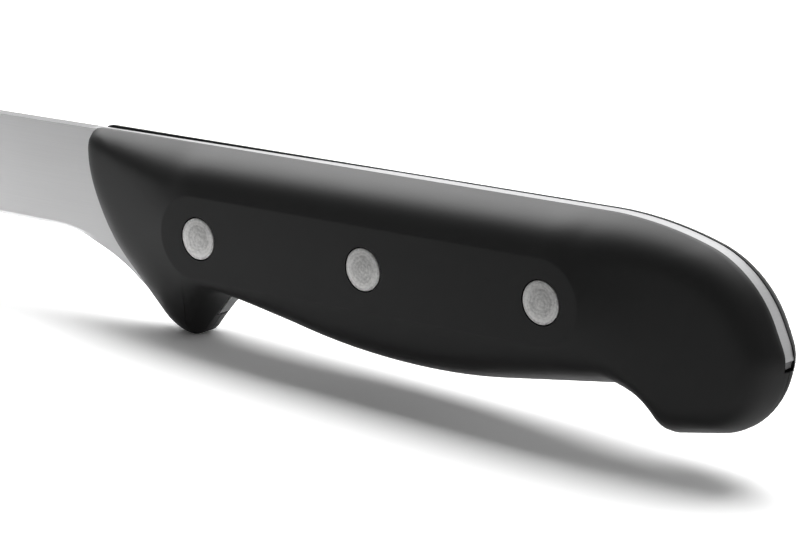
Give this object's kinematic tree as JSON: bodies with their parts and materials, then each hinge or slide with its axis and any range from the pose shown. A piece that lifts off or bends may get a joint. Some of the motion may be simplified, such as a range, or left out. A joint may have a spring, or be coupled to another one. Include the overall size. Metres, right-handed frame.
{
  "type": "ham knife",
  "caption": "Long narrow slicing knife for cured ham, with a full tang held between black moulded handle scales by flush rivets, a finger guard and a hooked butt.",
  "frame": {"origin": "under the middle of the knife's length, halfway between its sides, level with the lowest point of the handle", "axes": "+X along the knife from the tip to the butt, +Y to the knife's right side, +Z from the edge to the spine"},
  "size_m": [0.4258, 0.016, 0.0292],
  "materials": {
    "blade_steel": "satin, ground along the blade, with a brighter sanded spine",
    "handle_polymer": "black, moulded, satin",
    "rivet_metal": "sanded flush with the scales"
  },
  "bodies": {
    "root": {"blade_with_tang": "blade_steel", "left_scale": "handle_polymer", "right_scale": "handle_polymer", "front_rivet_post": "rivet_metal", "front_rivet_socket": "rivet_metal", "middle_rivet_post": "rivet_metal", "middle_rivet_socket": "rivet_metal", "rear_rivet_post": "rivet_metal", "rear_rivet_socket": "rivet_metal"}
  },
  "joints": []
}
